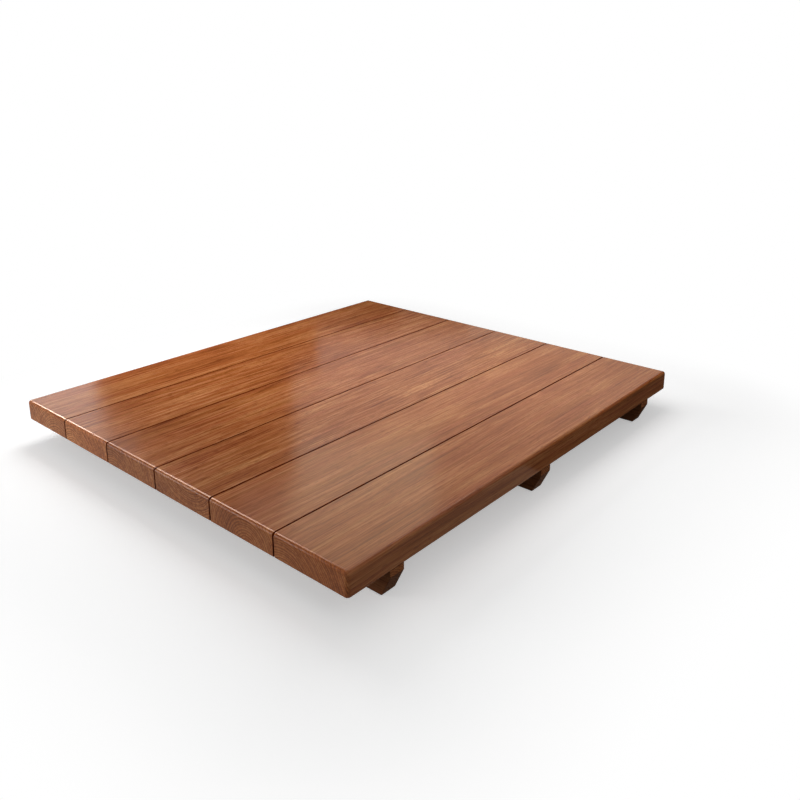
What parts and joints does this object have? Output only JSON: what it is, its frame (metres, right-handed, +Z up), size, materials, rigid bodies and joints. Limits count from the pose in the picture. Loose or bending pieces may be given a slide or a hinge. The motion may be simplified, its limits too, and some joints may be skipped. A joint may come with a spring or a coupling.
{
  "type": "floor bed",
  "caption": "Low floor bed: a flat deck of thick solid wood planks with rolled edges, bolted on cross rails whose ends are cut back from below.",
  "frame": {"origin": "on the floor, under the middle of the deck", "axes": "+X across the bed, +Y from the foot end to the head end, +Z up"},
  "size_m": [1.8, 2, 0.178],
  "materials": {
    "plank_wood": "satin lacquer",
    "rail_wood": "satin lacquer",
    "tongue_wood": "planed, unfinished",
    "bolt_steel": "zinc plated",
    "washer_steel": "zinc plated",
    "sleeve_brass": "turned",
    "strip_felt": "pressed felt"
  },
  "bodies": {
    "root": {"foot_rail": "rail_wood", "foot_rail_bolts": "bolt_steel", "foot_rail_felt_strips": "strip_felt", "foot_rail_washers": "washer_steel", "head_rail": "rail_wood", "head_rail_bolts": "bolt_steel", "head_rail_felt_strips": "strip_felt", "head_rail_washers": "washer_steel", "middle_rail": "rail_wood", "middle_rail_bolts": "bolt_steel", "middle_rail_felt_strips": "strip_felt", "middle_rail_washers": "washer_steel", "plank_1": "plank_wood", "plank_1_threaded_sleeves": "sleeve_brass", "plank_2": "plank_wood", "plank_2_threaded_sleeves": "sleeve_brass", "plank_3": "plank_wood", "plank_3_threaded_sleeves": "sleeve_brass", "plank_4": "plank_wood", "plank_4_threaded_sleeves": "sleeve_brass", "plank_5": "plank_wood", "plank_5_threaded_sleeves": "sleeve_brass", "plank_6": "plank_wood", "plank_6_threaded_sleeves": "sleeve_brass", "seam_tongue_1": "tongue_wood", "seam_tongue_2": "tongue_wood", "seam_tongue_3": "tongue_wood", "seam_tongue_4": "tongue_wood", "seam_tongue_5": "tongue_wood"}
  },
  "joints": []
}
